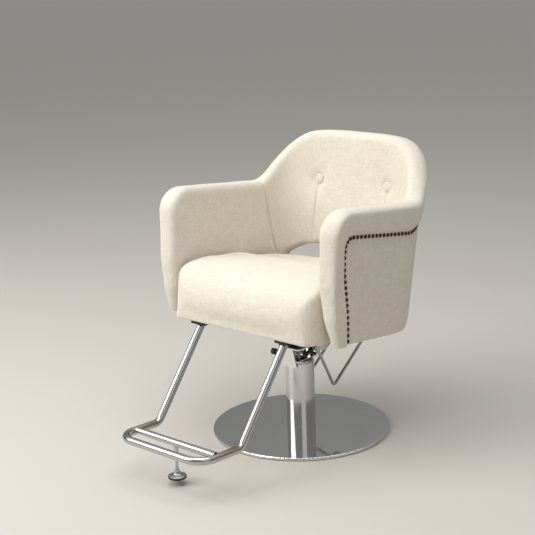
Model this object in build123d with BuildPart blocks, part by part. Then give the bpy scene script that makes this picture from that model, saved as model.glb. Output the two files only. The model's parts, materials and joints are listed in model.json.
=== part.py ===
"""Styling chair: a padded tub seat on a hydraulic column, with a hung footrest.

Millimetres. The origin is on the floor under the column axis, -Y is the front
of the chair, +X is the sitter's left and +Z is up.  The whole upholstered part
leans back a little, so it is drawn on the deck plane: x across, v rearwards
along the deck and w square to it.
"""
import os
from math import atan2, cos, degrees, hypot, radians, sin, sqrt

from build123d import *

# ---------------------------------------------------------------- base and column
BASE_R = 260.0
BASE_H = 9.0
BASE_EDGE_R = 2.5
PLATE_R = 246.0
PLATE_T = 5.5
GASKET_H = 2.0
GASKET_INSET = 1.5
BOLT_CIRCLE = 28.0
BOLT_R = 4.0
BOLT_HEAD = (6.8, 3.0)
SLEEVE_R = 42.3
SLEEVE_WALL = 2.8
COLUMN_TOP = 208.0
CYLINDER_R = 38.0
CYLINDER_BORE_R = 30.0
BUSH_H = 16.0
RAM_R = 22.0
PISTON_H = 18.0
RUN_GAP = 0.05
# ---------------------------------------------------------------- pump head and lever
HEAD_Z = 213.8
HEAD_T = 5.0
HEAD_HALF_Y = 45.0
HEAD_HALF_X = 30.0
HEAD_NECK_X = 14.0
HEAD_TOP = 258.0
SKIRT_Z = 200.0
WINDOW = (13.0, 23.0, 228.0)
PLUNGER_R = 4.0
COLLAR_R, COLLAR_Z = 13.0, 230.5
PIVOT_Y, PIVOT_Z = 58.0, 246.0
SHAFT_R = 6.0
BUSH_R = 8.0
EAR_T = 6.0
EAR_R = 12.0
CHEEK_X = 42.5
CHEEK_T = 7.5
FORK_BAR = (10.0, 226.0)
LEVER_X = 53.0
LEVER_R = 4.5
LEVER_TOP = (12.0, 258.0)
LEVER_BEND = (90.3, 113.9)
LEVER_END = (352.0, 311.0)
FORK_X = 18.0
KNOB_Y, KNOB_Z = -10.0, 219.5
# ---------------------------------------------------------------- deck and shell
DECK_Z = 331.0
DECK_TILT = 6.2
BOARD_T = 15.0
SEAT_PLATE_T = 6.0
RISER = (76.0, 104.0)
ARM_TOP = 367.0
BACK_TOP = 533.0
TRIM_FRONT_W = 301.0
TRIM_W = 291.0
BACK_TRIM_W = 463.0
ARM_FRONT_V = -258.0
CURVE_V = 45.0
SPLIT_V = 150.0
PANEL_SPLIT_V = 105.0
# Half width and rear depth of the tub's layers, given at heights above the deck.
OUTER = ((0.0, 344.0, 312.0), (BACK_TOP, 344.0, 312.0))
PANEL = ((0.0, 307.0, 238.0), (30.0, 308.0, 255.0), (463.0, 321.0, 301.0))
INNER = ((0.0, 262.0, 222.0), (BACK_TOP, 262.0, 222.0))
PANEL_T = 10.0
FRAME_T = 14.0
SQUARENESS = 0.62
CREST_X = (100.0, 303.0)
SLOT_BOTTOM = 118.0
SLOT_TOP = 188.0
SLOT_HALF = 222.0
SEAT_HALF = 258.0
SEAT_FRONT_V = -272.0
SEAT_TUCK = 11.0
SEAT_REAR_V = 214.0
SEAT_TOP = 152.0
SEAT_BOLTS = (150.0, 150.0)
NAIL_R = 5.5
NAIL_H = 3.2
NAIL_PITCH = 16.6
NAIL_GAP = 1.5
BUTTON_R = 13.5
BUTTON_X, BUTTON_W = 127.7, 384.0
# ---------------------------------------------------------------- footrest
TUBE_R = 11.0
TUBE_WALL = 1.8
RAIL_X = 155.0
LEG_TOP = (-244.0, 344.0)
LEG_BEND = (-426.0, 111.0)
FRONT_BAR = (-575.0, 117.0)
CROSS_BAR = (-512.0, 117.0)
CROSS_R = 10.0
FLANGE = (50.0, 34.0, 6.0)
FLANGE_X, FLANGE_V = 157.0, -242.0
FLANGE_SCREW_X = 18.5
STEM_R = 4.0
STEM_BOTTOM, STEM_TOP = 29.0, 96.0
BOSS_R = 6.5
BOSS_BOTTOM = 76.0
PAD_R = 25.0
PAD_BOTTOM = 18.0

# Cutting shapes reach this far, past every face they cut.
FAR = 420.0

PARTS = "parts"
os.makedirs(PARTS, exist_ok=True)

tilt = radians(DECK_TILT)
deck = Plane(origin=(0, 0, DECK_Z), x_dir=(1, 0, 0), z_dir=(0, sin(tilt), cos(tilt)))
side = Plane(origin=(0, 0, DECK_Z), x_dir=(0, cos(tilt), -sin(tilt)), z_dir=(1, 0, 0))
front = Plane(origin=(0, 0, DECK_Z), x_dir=(1, 0, 0), z_dir=(0, -cos(tilt), sin(tilt)))
upright = Plane(origin=(0, 0, 0), x_dir=(0, 1, 0), z_dir=(1, 0, 0))


def save(part, label):
    """Label a finished piece and write it to its own STEP file."""
    part.label = label
    export_step(part, os.path.join(PARTS, f"{label}.step"))


def to_deck(x, v, w):
    """World position of a point given on the deck."""
    return deck.from_local_coords((x, v, w))


def ring(z, height, outer, inner):
    """An upright ring about the column axis."""
    with BuildPart() as body:
        with BuildSketch(Plane.XY.offset(z)):
            Circle(outer)
            Circle(inner, mode=Mode.SUBTRACT)
        extrude(amount=height)
    return body.part


def tub_face(half, rear):
    """Plan outline of the tub out to the given half width and rear depth."""
    pull = SQUARENESS * (rear - CURVE_V)
    with BuildSketch() as plan:
        with BuildLine():
            Polyline(
                (-half, CURVE_V), (-half, ARM_FRONT_V), (half, ARM_FRONT_V), (half, CURVE_V)
            )
            Bezier((half, CURVE_V), (half, CURVE_V + pull), (half * SQUARENESS, rear), (0, rear))
            Bezier((0, rear), (-half * SQUARENESS, rear), (-half, CURVE_V + pull), (-half, CURVE_V))
        make_face()
    return plan.sketch


def inward(shape, depth):
    """A tub outline moved in by a depth."""
    return tuple((w, half - depth, rear - depth) for w, half, rear in shape)


def at_height(shape, w):
    """Half width and rear depth of a tub outline at a height above the deck."""
    spans = list(zip(shape, shape[1:]))
    low, high = next((span for span in spans if w <= span[1][0]), spans[-1])
    part = (w - low[0]) / (high[0] - low[0])
    return tuple(a + (b - a) * part for a, b in zip(low[1:], high[1:]))


def tub_block(shape, w_low, w_high):
    """All the space inside a tub outline between two heights."""
    between = [w for w, _, _ in shape if w_low < w < w_high]
    with BuildPart() as block:
        for w in (w_low, *between, w_high):
            with BuildSketch(deck.offset(w)):
                add(tub_face(*at_height(shape, w)))
        loft(ruled=True)
    return block.part


def tub_band(outside, inside, v_low, v_high, w_low, w_high):
    """The wall between two tub outlines, within limits along and above the deck."""
    with BuildPart() as body:
        add(tub_block(outside, w_low, w_high))
        add(tub_block(inside, w_low, w_high), mode=Mode.SUBTRACT)
        with BuildSketch(deck.offset(w_low)):
            with Locations((0, (v_low + v_high) / 2)):
                Rectangle(2 * FAR, v_high - v_low)
        extrude(amount=w_high - w_low, mode=Mode.INTERSECT)
    return body.part


OUTSIDE = ((0.0, FAR - 1, FAR - 1), (BACK_TOP, FAR - 1, FAR - 1))
PANEL_IN = inward(PANEL, PANEL_T)
FRAME_IN = inward(PANEL_IN, FRAME_T)
INNER_REAR = INNER[0][2]


def around_tub(shape):
    """All the space outside a tub outline, behind the straight part of the arms."""
    return tub_band(OUTSIDE, shape, 0, FAR, -1, BACK_TOP)


def rise(x, low, high, span):
    """Height of a crest that is level inside span[0] and falls as a quarter ellipse to span[1]."""
    part = min(max(abs(x) - span[0], 0) / (span[1] - span[0]), 1)
    return low + (high - low) * sqrt(1 - part * part)


def crest_face(low, high, span):
    """Front view of everything below such a crest."""
    steps = (1, 0.985, 0.94, 0.86, 0.75, 0.6, 0.42, 0.2, 0)
    half = [(span[0] + (span[1] - span[0]) * k, 0) for k in steps]
    half = [(x, rise(x, low, high, span)) for x, _ in half]
    with BuildSketch() as outline:
        with BuildLine():
            Spline(*half, tangents=((0, 1), (-1, 0)))
            Line(half[-1], (-half[-1][0], high))
            Spline(*[(-x, w) for x, w in reversed(half)], tangents=((-1, 0), (0, -1)))
            Polyline((-span[1], low), (-FAR, low), (-FAR, -2), (FAR, -2), (FAR, low), (span[1], low))
        make_face()
    return outline.sketch


# ================================================================ base
with BuildPart() as base_gasket:
    with BuildSketch():
        Circle(BASE_R - GASKET_INSET)
    extrude(amount=GASKET_H)
save(base_gasket.part, "base_gasket")

HEAD_R, HEAD_DEPTH = BOLT_HEAD
with BuildPart() as base_plate:
    add(ring(GASKET_H, PLATE_T, PLATE_R, 17))
    with BuildSketch(Plane.XY.offset(GASKET_H)):
        with PolarLocations(BOLT_CIRCLE, 6):
            Circle(BOLT_R + 0.2)
    extrude(amount=PLATE_T, mode=Mode.SUBTRACT)
    with BuildSketch(Plane.XY.offset(GASKET_H)):
        with PolarLocations(BOLT_CIRCLE, 6):
            Circle(HEAD_R + 0.4)
    extrude(amount=HEAD_DEPTH, mode=Mode.SUBTRACT)
save(base_plate.part, "base_plate")

# The polished cover: flat on top, with a rounded rim that hides the plate's edge.
with BuildPart() as base_cover:
    with BuildSketch(Plane.XZ):
        with BuildLine():
            Line((SLEEVE_R, BASE_H), (BASE_R - BASE_EDGE_R, BASE_H))
            TangentArc((BASE_R - BASE_EDGE_R, BASE_H), (BASE_R, BASE_H - BASE_EDGE_R), tangent=(1, 0))
            Polyline(
                (BASE_R, BASE_H - BASE_EDGE_R), (BASE_R, GASKET_H), (PLATE_R, GASKET_H),
                (PLATE_R, GASKET_H + PLATE_T), (SLEEVE_R, GASKET_H + PLATE_T), (SLEEVE_R, BASE_H),
            )
        make_face()
    revolve(axis=Axis.Z)
save(base_cover.part, "base_cover")

with BuildPart() as column_sleeve:
    add(ring(GASKET_H + PLATE_T, COLUMN_TOP - GASKET_H - PLATE_T, SLEEVE_R, SLEEVE_R - SLEEVE_WALL))
    fillet(column_sleeve.edges().filter_by(GeomType.CIRCLE).group_by(Axis.Z)[-1], 1.2)
save(column_sleeve.part, "column_sleeve")

CYLINDER_FLOOR = GASKET_H + PLATE_T
BUSH_Z = COLUMN_TOP - BUSH_H - 2
with BuildPart() as pump_cylinder:
    with BuildSketch(Plane.XY.offset(CYLINDER_FLOOR)):
        Circle(CYLINDER_R)
    extrude(amount=BUSH_Z - CYLINDER_FLOOR)
    with BuildSketch(Plane.XY.offset(CYLINDER_FLOOR + 10)):
        Circle(CYLINDER_BORE_R + RUN_GAP)
    extrude(amount=BUSH_Z - CYLINDER_FLOOR - 10, mode=Mode.SUBTRACT)
    with BuildSketch(Plane.XY.offset(CYLINDER_FLOOR)):
        with PolarLocations(BOLT_CIRCLE, 6):
            Circle(BOLT_R)
    extrude(amount=8, mode=Mode.SUBTRACT)
save(pump_cylinder.part, "pump_cylinder")

with BuildPart() as cylinder_bolts:
    with BuildSketch(Plane.XY.offset(GASKET_H)):
        with PolarLocations(BOLT_CIRCLE, 6):
            Circle(HEAD_R)
    extrude(amount=HEAD_DEPTH)
    with BuildSketch(Plane.XY.offset(GASKET_H + HEAD_DEPTH)):
        with PolarLocations(BOLT_CIRCLE, 6):
            Circle(BOLT_R)
    extrude(amount=PLATE_T - HEAD_DEPTH + 8)
save(cylinder_bolts.part, "cylinder_bolts")

with BuildPart() as guide_bush:
    add(ring(BUSH_Z, BUSH_H + 2, SLEEVE_R - SLEEVE_WALL, RAM_R + RUN_GAP))
save(guide_bush.part, "guide_bush")

# ================================================================ ram
RAM_FOOT = CYLINDER_FLOOR + 14
RAM_FLANGE_Z = COLUMN_TOP + 0.5
WASHER_Z = RAM_FLANGE_Z + 3.0
with BuildPart() as ram_rod:
    with BuildSketch(Plane.XY.offset(RAM_FOOT)):
        Circle(RAM_R)
    extrude(amount=RAM_FLANGE_Z - RAM_FOOT)
    with BuildSketch(Plane.XY.offset(RAM_FLANGE_Z)):
        Circle(SLEEVE_R - 2)
    extrude(amount=WASHER_Z - RAM_FLANGE_Z)
    with BuildSketch(Plane.XY.offset(HEAD_Z - 60)):
        Circle(PLUNGER_R + 0.4)
    extrude(amount=60, mode=Mode.SUBTRACT)
save(ram_rod.part, "ram_rod")

with BuildPart() as ram_piston:
    add(ring(RAM_FOOT, PISTON_H, CYLINDER_BORE_R, RAM_R))
    add(ring(RAM_FOOT + 6, 5, CYLINDER_BORE_R, CYLINDER_BORE_R - 3), mode=Mode.SUBTRACT)
save(ram_piston.part, "ram_piston")

with BuildPart() as piston_seal:
    add(ring(RAM_FOOT + 6, 5, CYLINDER_BORE_R, CYLINDER_BORE_R - 3))
save(piston_seal.part, "piston_seal")

with BuildPart() as thrust_washer:
    add(ring(WASHER_Z, HEAD_Z - WASHER_Z - 0.3, SLEEVE_R - 4, PLUNGER_R + 6))
save(thrust_washer.part, "thrust_washer")

# ================================================================ pump head
# Bottom and top plates joined by a tapered front skirt and a rear plate; open at the sides.
with BuildPart() as pump_head:
    with BuildSketch(Plane.XY.offset(HEAD_Z)):
        RectangleRounded(2 * HEAD_HALF_X, 2 * HEAD_HALF_Y, 6)
        Circle(PLUNGER_R + RUN_GAP, mode=Mode.SUBTRACT)
    extrude(amount=HEAD_T)
    with BuildSketch(Plane.XY.offset(HEAD_TOP - HEAD_T)):
        RectangleRounded(2 * HEAD_HALF_X + 18, 2 * HEAD_HALF_Y + 6, 6)
    extrude(amount=HEAD_T)
    with BuildSketch(Plane.XZ.offset(HEAD_HALF_Y - 1)):
        with BuildLine():
            Polyline(
                (-HEAD_HALF_X, SKIRT_Z), (HEAD_HALF_X, SKIRT_Z), (HEAD_NECK_X, HEAD_TOP),
                (-HEAD_NECK_X, HEAD_TOP), close=True,
            )
        make_face()
    extrude(amount=4)
    # the part of the skirt below the bottom plate stands clear of the column
    with BuildSketch(Plane.XY.offset(SKIRT_Z)):
        Circle(HEAD_HALF_Y)
    extrude(amount=HEAD_Z - SKIRT_Z, mode=Mode.SUBTRACT)
    with BuildSketch(Plane.XZ.offset(-HEAD_HALF_Y)):
        with Locations((0, (HEAD_Z + HEAD_TOP) / 2)):
            Rectangle(2 * HEAD_HALF_X, HEAD_TOP - HEAD_Z)
    extrude(amount=6)
    with BuildSketch(upright.offset(HEAD_HALF_X)):
        with Locations((PIVOT_Y, PIVOT_Z)):
            Circle(EAR_R)
        with Locations(((HEAD_HALF_Y - 5 + PIVOT_Y) / 2, PIVOT_Z)):
            Rectangle(PIVOT_Y - HEAD_HALF_Y + 5, 2 * EAR_R)
    extrude(amount=-EAR_T)
    mirror(about=Plane.YZ)
    with BuildSketch(upright.offset(-HEAD_HALF_X - 1)):
        with Locations((PIVOT_Y, PIVOT_Z)):
            Circle(BUSH_R)
    extrude(amount=2 * HEAD_HALF_X + 2, mode=Mode.SUBTRACT)
    # two windows let the fork through the rear plate
    with BuildSketch(Plane.XZ.offset(-HEAD_HALF_Y - 1)):
        for mirror_x in (-1, 1):
            with Locations((mirror_x * (WINDOW[0] + WINDOW[1]) / 2, (WINDOW[2] + HEAD_TOP - HEAD_T) / 2)):
                Rectangle(WINDOW[1] - WINDOW[0], HEAD_TOP - HEAD_T - WINDOW[2])
    extrude(amount=12, mode=Mode.SUBTRACT)
    # lug for the swivel lock screw
    with BuildSketch(upright.offset(-HEAD_HALF_X)):
        with Locations((KNOB_Y, HEAD_Z + 6)):
            Rectangle(15, 12)
    extrude(amount=-8)
    with BuildSketch(upright.offset(-HEAD_HALF_X - 8)):
        with Locations((KNOB_Y, KNOB_Z)):
            Circle(3 + RUN_GAP)
    extrude(amount=8, mode=Mode.SUBTRACT)
save(pump_head.part, "pump_head")

SCREW_SPOTS = ((-20, -30), (20, -30), (-20, 30), (20, 30))
with BuildPart() as head_screws:
    with BuildSketch(Plane.XY.offset(HEAD_Z + HEAD_T)):
        with Locations(*SCREW_SPOTS):
            Circle(4.5)
            RegularPolygon(2.4, 6, mode=Mode.SUBTRACT)
    extrude(amount=4)
save(head_screws.part, "head_screws")

with BuildPart() as pivot_bushes:
    with BuildSketch(upright.offset(HEAD_HALF_X)):
        with Locations((PIVOT_Y, PIVOT_Z)):
            Circle(BUSH_R)
            Circle(SHAFT_R + RUN_GAP, mode=Mode.SUBTRACT)
    extrude(amount=-EAR_T)
    mirror(about=Plane.YZ)
save(pivot_bushes.part, "pivot_bushes")

with BuildPart() as lock_screw:
    with BuildSketch(upright.offset(-HEAD_HALF_X - 54)):
        with Locations((KNOB_Y, KNOB_Z)):
            Circle(3)
    extrude(amount=53)
save(lock_screw.part, "lock_screw")

with BuildPart() as lock_knob:
    with BuildSketch(upright.offset(-HEAD_HALF_X - 66)):
        with Locations((KNOB_Y, KNOB_Z)):
            Circle(9.5)
            with PolarLocations(10.5, 6):
                Circle(2.2, mode=Mode.SUBTRACT)
    extrude(amount=13)
    fillet(lock_knob.faces().sort_by(Axis.X)[0].edges(), 1.5)
    add(lock_screw.part, mode=Mode.SUBTRACT)
save(lock_knob.part, "lock_knob")

# ================================================================ pump plunger and lever
with BuildPart() as pump_plunger:
    with BuildSketch(Plane.XY.offset(HEAD_Z - 50)):
        Circle(PLUNGER_R)
    extrude(amount=COLLAR_Z + 4.5 - HEAD_Z + 50)
    with BuildSketch(Plane.XY.offset(COLLAR_Z)):
        Circle(COLLAR_R)
    extrude(amount=3)
save(pump_plunger.part, "pump_plunger")

with BuildPart() as pivot_shaft:
    with BuildSketch(upright.offset(-CHEEK_X - CHEEK_T)):
        with Locations((PIVOT_Y, PIVOT_Z)):
            Circle(SHAFT_R)
    extrude(amount=2 * (CHEEK_X + CHEEK_T))
save(pivot_shaft.part, "pivot_shaft")

# The fork: a hub on the shaft, two prongs and a cross bar under the plunger's collar.
with BuildPart() as lever_fork:
    with BuildSketch(upright.offset(-WINDOW[1] + 0.5)):
        with Locations((PIVOT_Y, PIVOT_Z)):
            Circle(EAR_R - 1.5)
    extrude(amount=2 * WINDOW[1] - 1)
    reach = hypot(PIVOT_Y - FORK_BAR[0], PIVOT_Z - FORK_BAR[1])
    slope = degrees(atan2(PIVOT_Z - FORK_BAR[1], PIVOT_Y - FORK_BAR[0]))
    with BuildSketch(upright.offset(FORK_X - 4)):
        with Locations(Location(((PIVOT_Y + FORK_BAR[0]) / 2, (PIVOT_Z + FORK_BAR[1]) / 2), slope)):
            SlotCenterToCenter(reach, 8)
    extrude(amount=8)
    mirror(about=Plane.YZ)
    with BuildSketch(upright.offset(-FORK_X)):
        with Locations(FORK_BAR):
            Rectangle(9, 8)
    extrude(amount=2 * FORK_X)
    with Locations((0, FORK_BAR[0] - 5, FORK_BAR[1])):
        Box(13, 13, 12, mode=Mode.SUBTRACT)
    add(pivot_shaft.part, mode=Mode.SUBTRACT)
save(lever_fork.part, "lever_fork")


def lever_rod(x):
    """One bent rod of the lever loop, from the cheek down past the column and up to the pedal."""
    with BuildPart() as body:
        with BuildLine():
            FilletPolyline(
                (x, *LEVER_TOP), (x, *LEVER_BEND), (x, *LEVER_END), radius=9,
            )
        run = (0, LEVER_BEND[0] - LEVER_TOP[0], LEVER_BEND[1] - LEVER_TOP[1])
        with BuildSketch(Plane(origin=(x, *LEVER_TOP), z_dir=run)):
            Circle(LEVER_R)
        sweep()
    return body.part


left_rod = lever_rod(LEVER_X)
right_rod = lever_rod(-LEVER_X)
save(left_rod, "left_lever_rod")
save(right_rod, "right_lever_rod")

# Cheek plates clamp the rods to the ends of the shaft, outside the ears.
for label, x0, rod in (("left_cheek", CHEEK_X, left_rod), ("right_cheek", -CHEEK_X - CHEEK_T, right_rod)):
    with BuildPart() as cheek:
        with BuildSketch(upright.offset(x0)):
            with Locations((PIVOT_Y, PIVOT_Z)):
                Circle(EAR_R)
            with Locations((LEVER_TOP[0] + 6, LEVER_TOP[1] - 9)):
                Circle(9)
            make_hull()
        extrude(amount=CHEEK_T)
        add(pivot_shaft.part, mode=Mode.SUBTRACT)
        add(rod, mode=Mode.SUBTRACT)
    save(cheek.part, label)

with BuildPart() as pedal_bar:
    with BuildSketch(upright.offset(-LEVER_X - 26)):
        with Locations(LEVER_END):
            Circle(6)
    extrude(amount=2 * LEVER_X + 52)
    add(left_rod, mode=Mode.SUBTRACT)
    add(right_rod, mode=Mode.SUBTRACT)
save(pedal_bar.part, "pedal_bar")

with BuildPart() as pedal_sleeve:
    with BuildSketch(upright.offset(-LEVER_X + LEVER_R + 2)):
        with Locations(LEVER_END):
            Circle(9.5)
            Circle(6, mode=Mode.SUBTRACT)
    extrude(amount=2 * (LEVER_X - LEVER_R - 2))
    with BuildSketch(upright.offset(-LEVER_X + LEVER_R + 2)):
        with Locations(LEVER_END):
            Circle(10.2)
            Circle(8.8, mode=Mode.SUBTRACT)
    for offset_x in range(8, 84, 8):
        with BuildSketch(upright.offset(-LEVER_X + LEVER_R + 2 + offset_x)):
            with Locations(LEVER_END):
                Circle(10.2)
                Circle(8.8, mode=Mode.SUBTRACT)
        extrude(amount=2, mode=Mode.SUBTRACT)
save(pedal_sleeve.part, "pedal_sleeve")

# ================================================================ seat support
with BuildPart() as seat_riser:
    with BuildSketch(Plane.XY.offset(HEAD_TOP)):
        RectangleRounded(*RISER, 8)
    extrude(amount=5)
    with BuildSketch(Plane.XY.offset(HEAD_TOP)):
        with Locations((RISER[0] / 2 - 3, 0), (3 - RISER[0] / 2, 0)):
            Rectangle(6, RISER[1] - 10)
    extrude(amount=DECK_Z - HEAD_TOP)
    with BuildSketch(deck.offset(-SEAT_PLATE_T)):
        Rectangle(FAR, FAR)
    extrude(amount=FAR, mode=Mode.SUBTRACT)
save(seat_riser.part, "seat_riser")

with BuildPart() as seat_plate:
    with BuildSketch(deck.offset(-SEAT_PLATE_T)):
        RectangleRounded(SEAT_BOLTS[0] + 40, SEAT_BOLTS[1] + 50, 16)
        with GridLocations(*SEAT_BOLTS, 2, 2):
            Circle(4.2, mode=Mode.SUBTRACT)
    extrude(amount=SEAT_PLATE_T)
save(seat_plate.part, "seat_plate")

with BuildPart() as seat_bolts:
    with BuildSketch(deck.offset(-SEAT_PLATE_T - 5.5)):
        with GridLocations(*SEAT_BOLTS, 2, 2):
            RegularPolygon(7, 6)
    extrude(amount=5.5)
    with BuildSketch(deck.offset(-SEAT_PLATE_T)):
        with GridLocations(*SEAT_BOLTS, 2, 2):
            Circle(4)
    extrude(amount=SEAT_PLATE_T + 12)
save(seat_bolts.part, "seat_bolts")

with BuildPart() as seat_board:
    with BuildSketch(deck):
        with Locations((0, (SEAT_FRONT_V + SEAT_REAR_V) / 2)):
            RectangleRounded(2 * SEAT_HALF - 40, SEAT_REAR_V - SEAT_FRONT_V - 50, 40)
        with GridLocations(*SEAT_BOLTS, 2, 2):
            Circle(4.2, mode=Mode.SUBTRACT)
    extrude(amount=BOARD_T)
    add(around_tub(inward(INNER, 20)), mode=Mode.SUBTRACT)
save(seat_board.part, "seat_board")

# ================================================================ seat cushion
with BuildPart() as seat_cushion:
    with BuildSketch(deck):
        with Locations((0, (SEAT_FRONT_V + SEAT_REAR_V) / 2)):
            RectangleRounded(2 * SEAT_HALF, SEAT_REAR_V - SEAT_FRONT_V, 52)
    extrude(amount=SEAT_TOP + 12)
    with BuildSketch(side.offset(-SEAT_HALF)):
        with BuildLine():
            Spline(
                (SEAT_FRONT_V + SEAT_TUCK, 0), (SEAT_FRONT_V + 1, 70), (SEAT_FRONT_V + 16, 122),
                (SEAT_FRONT_V + 60, SEAT_TOP - 2), (0, SEAT_TOP + 8), (SEAT_REAR_V, SEAT_TOP - 6),
                tangents=((-0.3, 1), (1, 0)),
            )
            Polyline((SEAT_REAR_V, SEAT_TOP - 6), (SEAT_REAR_V, 0), (SEAT_FRONT_V + SEAT_TUCK, 0))
        make_face()
    extrude(amount=2 * SEAT_HALF, mode=Mode.INTERSECT)
    with BuildSketch(deck):
        with Locations((0, (SEAT_FRONT_V + SEAT_REAR_V) / 2)):
            RectangleRounded(2 * SEAT_HALF - 40, SEAT_REAR_V - SEAT_FRONT_V - 50, 40)
    extrude(amount=BOARD_T, mode=Mode.SUBTRACT)
    add(around_tub(inward(INNER, 1)), mode=Mode.SUBTRACT)
save(seat_cushion.part, "seat_cushion")

# ================================================================ tub shell
ARM_CORNER = 70.0
BOARD_SPAN = (6.0, 325.0)
RAIL_LOW = 32.0
FRAME_CREST_X = (70.0, 300.0)
TRIM_CORNER = 36.0
ARM_FOOT = ((322.0, -1.0), (346.0, 130.0), (380.0, 130.0), (380.0, -1.0))
# Side view of the crest, from the level arm up to the top of the back.
CREST_SWEEP = ((88.0, ARM_TOP), (145.0, 402.0), (175.0, 453.0), (200.0, 493.0), (225.0, 516.0),
               (262.0, BACK_TOP))
# Side view of the panel's front edge, from the bottom up: it leans forward like the arm.
TRIM_FRONT = ((-168.0, 0.0), (-183.0, 101.0), (-202.0, 181.0), (-211.0, TRIM_FRONT_W - TRIM_CORNER))
# Side view of the nailed edge where it rises from the arm to the top of the back.
TRIM_SWEEP = (
    (77.0, TRIM_W), (104.0, 294.0), (136.0, 305.0), (170.0, 340.0), (205.0, 400.0), (238.0, 443.0),
    (272.0, BACK_TRIM_W),
)


def tub_outline():
    """Side view of the tub: the arm's front leans out as it rises, and the top sweeps up to the back."""
    foot, corner = (ARM_FRONT_V + 54, 0), (ARM_FRONT_V, ARM_TOP - ARM_CORNER)
    with BuildSketch() as outline:
        with BuildLine():
            Spline(
                foot, (ARM_FRONT_V + 20, 75), (ARM_FRONT_V + 6, 165), corner,
                tangents=((-0.5, 1), (0, 1)),
            )
            TangentArc(corner, (ARM_FRONT_V + ARM_CORNER, ARM_TOP), tangent=(0, 1))
            Line((ARM_FRONT_V + ARM_CORNER, ARM_TOP), CREST_SWEEP[0])
            Spline(*CREST_SWEEP, tangents=((1, 0), (1, 0)))
            Polyline(CREST_SWEEP[-1], (FAR, BACK_TOP), (FAR, 0), foot)
        make_face()
    return outline.sketch


def trim_edge():
    """Side view of the nailed edge, from the front foot over the corner to the top of the back."""
    front_v, front_w = TRIM_FRONT[-1]
    with BuildLine() as edge:
        Spline(*TRIM_FRONT, tangents=((-0.15, 1), (0, 1)))
        TangentArc((front_v, front_w), (front_v + TRIM_CORNER, TRIM_FRONT_W), tangent=(0, 1))
        Line((front_v + TRIM_CORNER, TRIM_FRONT_W), TRIM_SWEEP[0])
        Spline(*TRIM_SWEEP, tangents=((1, 0), (1, 0)))
    return edge.line


def panel_shape(outside, inside):
    """What lies between two tub outlines below the nailed edge."""
    with BuildSketch(side.offset(-FAR)) as outline:
        with BuildLine():
            add(trim_edge())
            Polyline(TRIM_SWEEP[-1], (FAR, BACK_TRIM_W), (FAR, 0), TRIM_FRONT[0])
        make_face()
    with BuildPart() as panel:
        add(tub_band(outside, inside, ARM_FRONT_V, FAR, 0, BACK_TRIM_W))
        extrude(outline.sketch, amount=2 * FAR, mode=Mode.INTERSECT)
    return panel.part


def slot_face(low):
    """Front view of the clean-out slot above the seat, with arched upper corners."""
    shoulder = SLOT_TOP - 40
    with BuildSketch() as outline:
        with BuildLine():
            Polyline((-SLOT_HALF, shoulder), (-SLOT_HALF, low), (SLOT_HALF, low), (SLOT_HALF, shoulder))
            Spline((SLOT_HALF, shoulder), (171, SLOT_TOP - 10), (100, SLOT_TOP),
                   tangents=((-0.4, 1), (-1, 0)))
            Line((100, SLOT_TOP), (-100, SLOT_TOP))
            Spline((-100, SLOT_TOP), (-171, SLOT_TOP - 10), (-SLOT_HALF, shoulder),
                   tangents=((-1, 0), (-0.4, -1)))
        make_face()
    return outline.sketch


pocket = panel_shape(OUTSIDE, PANEL_IN)
cover = panel_shape(PANEL, PANEL_IN)
SIDES = (("left", (0, FAR)), ("right", (-FAR, 0)))

# The wooden frame: a board in each arm, a bent board in the back and a rail below the slot.
arm_boards = []
for label, limits in SIDES:
    with BuildPart() as arm_frame:
        add(tub_band(PANEL_IN, FRAME_IN, ARM_FRONT_V, CURVE_V, *BOARD_SPAN))
        with BuildSketch(side.offset(limits[0])):
            Polygon(
                (CURVE_V, 0), (-158, 0), (-190, 240), (-160, 330), (CURVE_V, 330), align=None,
            )
        extrude(amount=FAR, mode=Mode.INTERSECT)
    save(arm_frame.part, f"{label}_arm_frame")
    arm_boards.append(arm_frame.part)

with BuildPart() as back_frame:
    add(tub_band(PANEL_IN, FRAME_IN, SPLIT_V, FAR, SLOT_TOP + 12, BACK_TRIM_W - 20))
    with BuildSketch(front.offset(-FAR)):
        add(crest_face(SLOT_TOP + 60, BACK_TRIM_W - 20, FRAME_CREST_X))
    extrude(amount=FAR, mode=Mode.INTERSECT)
save(back_frame.part, "back_frame")

with BuildPart() as rear_rail:
    add(tub_band(PANEL_IN, FRAME_IN, SPLIT_V, FAR, RAIL_LOW, SLOT_BOTTOM - 10))
save(rear_rail.part, "rear_rail")

# The padded wall is one shape, parted beside the slot into two arms with their corners and a back.
with BuildPart() as tub_wall:
    add(tub_band(OUTER, INNER, ARM_FRONT_V, FAR, 0, BACK_TOP))
    with BuildSketch(side.offset(-FAR)):
        add(tub_outline())
    extrude(amount=2 * FAR, mode=Mode.INTERSECT)
    with BuildSketch(front.offset(-FAR)):
        add(crest_face(ARM_TOP, BACK_TOP, CREST_X))
    extrude(amount=2 * FAR, mode=Mode.INTERSECT)
    # the foot of each arm draws in on the outer side
    with BuildSketch(front.offset(-FAR)):
        for sign in (-1, 1):
            Polygon(*[(sign * x, w) for x, w in ARM_FOOT], align=None)
    extrude(amount=2 * FAR, mode=Mode.SUBTRACT)
    for hidden in (pocket, *arm_boards, back_frame.part, rear_rail.part):
        add(hidden, mode=Mode.SUBTRACT)

for label, low_x in (("left_arm_pad", SLOT_HALF), ("right_arm_pad", -FAR)):
    with BuildPart() as arm_pad:
        add(tub_wall.part)
        with BuildSketch(side.offset(low_x)):
            Rectangle(4 * FAR, 4 * FAR)
        extrude(amount=FAR - SLOT_HALF, mode=Mode.INTERSECT)
    save(arm_pad.part, label)

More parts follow.
